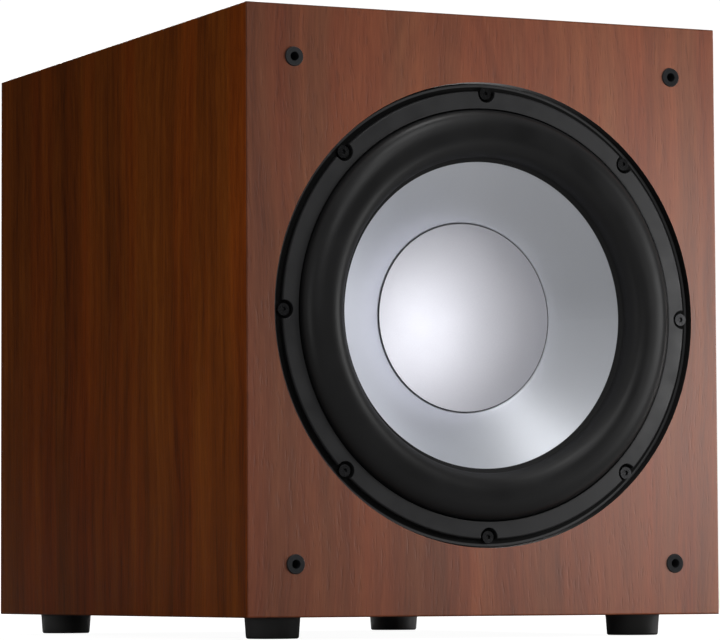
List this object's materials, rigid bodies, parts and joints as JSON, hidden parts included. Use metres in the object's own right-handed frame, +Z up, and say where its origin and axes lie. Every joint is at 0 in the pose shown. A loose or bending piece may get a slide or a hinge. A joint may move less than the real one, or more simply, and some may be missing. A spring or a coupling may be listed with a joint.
{
  "type": "powered subwoofer",
  "caption": "Powered subwoofer: veneered box on rubber feet, front-firing driver with silver cone, rear bass port and amplifier plate.",
  "frame": {"origin": "on the floor, under the middle of the bounding box of the whole object", "axes": "+Z up; the driver faces -Y and the amplifier plate +Y; +X to the right when the driver is seen from in front"},
  "size_m": [0.359, 0.5056, 0.4245],
  "materials": {
    "veneer": "satin walnut-brown veneer, fine vertical grain",
    "mdf": "bare fibreboard",
    "wadding": "soft felted polyester wadding",
    "rubber": "satin black moulded rubber",
    "foam_seal": "closed-cell foam strip",
    "black_plastic": "fine moulded texture",
    "trim_plastic": "satin charcoal trim",
    "black_metal": "black powder coat",
    "steel": "zinc-plated",
    "spun_silver": "satin silver, spun",
    "cap_silver": "satin silver, fine grain",
    "ferrite": "sintered grey ferrite",
    "copper": "enamelled copper winding",
    "spider_cloth": "resin-dipped woven cloth",
    "circuit_board": "solder-masked glass-epoxy",
    "gold_plate": "gold-plated",
    "jack_insulator": "moulded insulator",
    "capacitor_sleeve": "shrunk sleeve",
    "fuse_glass": "clear glass tube with metal caps",
    "led_lens": "tinted lens",
    "wire_jacket": "flexible insulation"
  },
  "bodies": {
    "cabinet": {"top_panel": "veneer", "bottom_panel": "veneer", "left_panel": "veneer", "right_panel": "veneer", "front_baffle": "veneer", "rear_panel": "veneer", "window_brace": "mdf", "damping_wadding": "wadding", "grille_sockets": "rubber", "feet": "rubber", "foot_screws": "steel", "port_tube": "black_plastic", "driver_flange": "black_metal", "driver_basket": "black_metal", "driver_seal": "foam_seal", "driver_gasket": "trim_plastic", "surround": "rubber", "spider": "spider_cloth", "magnet_top_plate": "steel", "magnet_ring": "ferrite", "t_yoke": "steel", "driver_screws": "black_metal", "driver_terminals": "trim_plastic", "tinsel_leads": "copper", "amp_plate": "black_metal", "amp_gasket": "foam_seal", "amp_screws": "black_metal", "heatsink": "black_metal", "power_transistors": "black_plastic", "main_board": "circuit_board", "control_board": "circuit_board", "board_standoffs": "steel", "filter_capacitors": "capacitor_sleeve", "transformer": "copper", "transformer_cap": "steel", "transformer_bolt": "steel", "level_pot": "steel", "crossover_pot": "steel", "phase_switch_body": "trim_plastic", "mode_switch_body": "trim_plastic", "rca_jacks": "gold_plate", "rca_insulators": "jack_insulator", "mains_inlet": "black_plastic", "inlet_pins": "steel", "rocker_housing": "black_plastic", "indicator_led": "led_lens", "speaker_wires": "wire_jacket"},
    "cone_assembly": {"cone": "spun_silver", "dust_cap": "cap_silver", "voice_coil_former": "spun_silver", "voice_coil": "copper"},
    "level_control": {"level_knob": "black_plastic", "level_shaft": "steel"},
    "crossover_control": {"crossover_knob": "black_plastic", "crossover_shaft": "steel"},
    "phase_slider": {"phase_switch_lever": "black_plastic"},
    "mode_slider": {"mode_switch_lever": "black_plastic"},
    "rocker": {"power_rocker": "trim_plastic"},
    "fuse_tray": {"fuse_drawer": "trim_plastic", "fuse": "fuse_glass"}
  },
  "joints": [
    {"name": "cone_travel", "type": "slide", "parent": "cabinet", "child": "cone_assembly", "axis": [0, 1, 0], "range_m": [-0.012, 0.012], "stiffness_N_per_m": 3500, "deforming": ["surround", "spider", "tinsel_leads"]},
    {"name": "level_turn", "type": "hinge", "parent": "cabinet", "child": "level_control", "pos_m": [0.042, 0.23475, 0.2615], "axis": [0, 1, 0], "range_deg": [-150, 150]},
    {"name": "crossover_turn", "type": "hinge", "parent": "cabinet", "child": "crossover_control", "pos_m": [0.088, 0.23475, 0.2615], "axis": [0, 1, 0], "range_deg": [-150, 150]},
    {"name": "phase_slide", "type": "slide", "parent": "cabinet", "child": "phase_slider", "axis": [1, 0, 0], "range_m": [0, 0.005]},
    {"name": "mode_slide", "type": "slide", "parent": "cabinet", "child": "mode_slider", "axis": [1, 0, 0], "range_m": [0, 0.005]},
    {"name": "rocker_tilt", "type": "hinge", "parent": "cabinet", "child": "rocker", "pos_m": [0.065, 0.23335, 0.0775], "axis": [0, 0, 1], "range_deg": [0, 18]},
    {"name": "fuse_tray_slide", "type": "slide", "parent": "cabinet", "child": "fuse_tray", "axis": [0, 1, 0], "range_m": [0, 0.014]}
  ]
}
